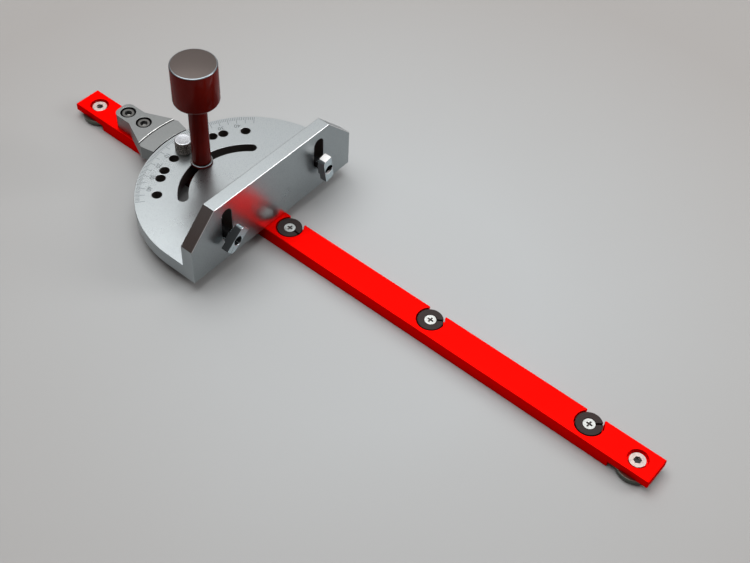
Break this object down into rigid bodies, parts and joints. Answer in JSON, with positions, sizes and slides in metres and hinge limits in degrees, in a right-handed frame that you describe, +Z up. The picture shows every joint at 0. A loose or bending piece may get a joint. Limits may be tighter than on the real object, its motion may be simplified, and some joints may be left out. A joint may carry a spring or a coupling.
{
  "type": "miter gauge",
  "caption": "Miter gauge for a table saw: half-round protractor head with an upright fence, turning on a red slide bar, with a tall clamp knob, an index pin and a pointer block.",
  "frame": {"origin": "where the head's pivot axis meets the top face of the slide bar", "axes": "+X along the bar towards its front end, ahead of the fence; +Y to the user's left; +Z up"},
  "size_m": [0.45, 0.14, 0.0982],
  "materials": {
    "red_anodised": "red anodised, half gloss",
    "silver_anodised": "clear anodised, satin",
    "dark_handle": "dark gunmetal, half gloss",
    "black_screws": "black oxide",
    "bright_steel": "bright turned steel",
    "zinc_nuts": "zinc plated",
    "disc_plastic": "dark grey nylon, matt"
  },
  "bodies": {
    "bar": {"miter_bar": "red_anodised", "t_slot_washers": "bright_steel", "t_slot_screws": "bright_steel", "expansion_discs": "disc_plastic", "pointer_block": "silver_anodised", "pointer_screw_front": "black_screws", "pointer_screw_rear": "black_screws", "pivot_screw": "black_screws", "clamp_stud": "bright_steel"},
    "head": {"protractor_head": "silver_anodised"},
    "clamp_collar": {"clamp_washer": "dark_handle"},
    "clamp_handle": {"clamp_post": "dark_handle", "clamp_knob": "dark_handle"},
    "index_stop": {"index_pin": "bright_steel"},
    "bolt_left": {"fence_bolt_left": "black_screws"},
    "nut_left": {"t_nut_left": "zinc_nuts"},
    "bolt_right": {"fence_bolt_right": "black_screws"},
    "nut_right": {"t_nut_right": "zinc_nuts"},
    "disc_screw_rear": {"disc_screw_rear": "bright_steel"},
    "disc_screw_middle": {"disc_screw_middle": "bright_steel"},
    "disc_screw_front": {"disc_screw_front": "bright_steel"}
  },
  "joints": [
    {"name": "head_turn", "type": "hinge", "parent": "bar", "child": "head", "pos_m": [0, 0, 0], "axis": [0, 0, 1], "range_deg": [-50, 50]},
    {"name": "clamp_lift", "type": "slide", "parent": "bar", "child": "clamp_collar", "axis": [0, 0, 1], "range_m": [0, 0.00301]},
    {"name": "clamp_turn", "type": "hinge", "parent": "clamp_collar", "child": "clamp_handle", "pos_m": [-0.04, 0, 0.0115], "axis": [0, 0, 1], "range_deg": [0, 1080]},
    {"name": "index_pin_lift", "type": "slide", "parent": "head", "child": "index_stop", "axis": [0, 0, 1], "range_m": [0, 0.02]},
    {"name": "fence_bolt_left_slide", "type": "slide", "parent": "head", "child": "bolt_left", "axis": [0, 0, 1], "range_m": [0, 0.0167]},
    {"name": "t_nut_left_turn", "type": "hinge", "parent": "bolt_left", "child": "nut_left", "pos_m": [0.0252, 0.0406, 0.0199], "axis": [1, 0, 0], "range_deg": [-90, 90]},
    {"name": "fence_bolt_right_slide", "type": "slide", "parent": "head", "child": "bolt_right", "axis": [0, 0, 1], "range_m": [0, 0.0167]},
    {"name": "t_nut_right_turn", "type": "hinge", "parent": "bolt_right", "child": "nut_right", "pos_m": [0.0252, -0.0406, 0.0199], "axis": [1, 0, 0], "range_deg": [-90, 90]},
    {"name": "disc_screw_rear_turn", "type": "hinge", "parent": "bar", "child": "disc_screw_rear", "pos_m": [0.0336, 0.0019, 0], "axis": [0, 0, 1], "range_deg": [-180, 180]},
    {"name": "disc_screw_middle_turn", "type": "hinge", "parent": "bar", "child": "disc_screw_middle", "pos_m": [0.1443, 0.0019, 0], "axis": [0, 0, 1], "range_deg": [-180, 180]},
    {"name": "disc_screw_front_turn", "type": "hinge", "parent": "bar", "child": "disc_screw_front", "pos_m": [0.255, 0.0019, 0], "axis": [0, 0, 1], "range_deg": [-180, 180]}
  ],
  "couplings": [
    {"joint": "clamp_lift", "follows": "clamp_turn", "m_per_rad": 0.00015915}
  ]
}
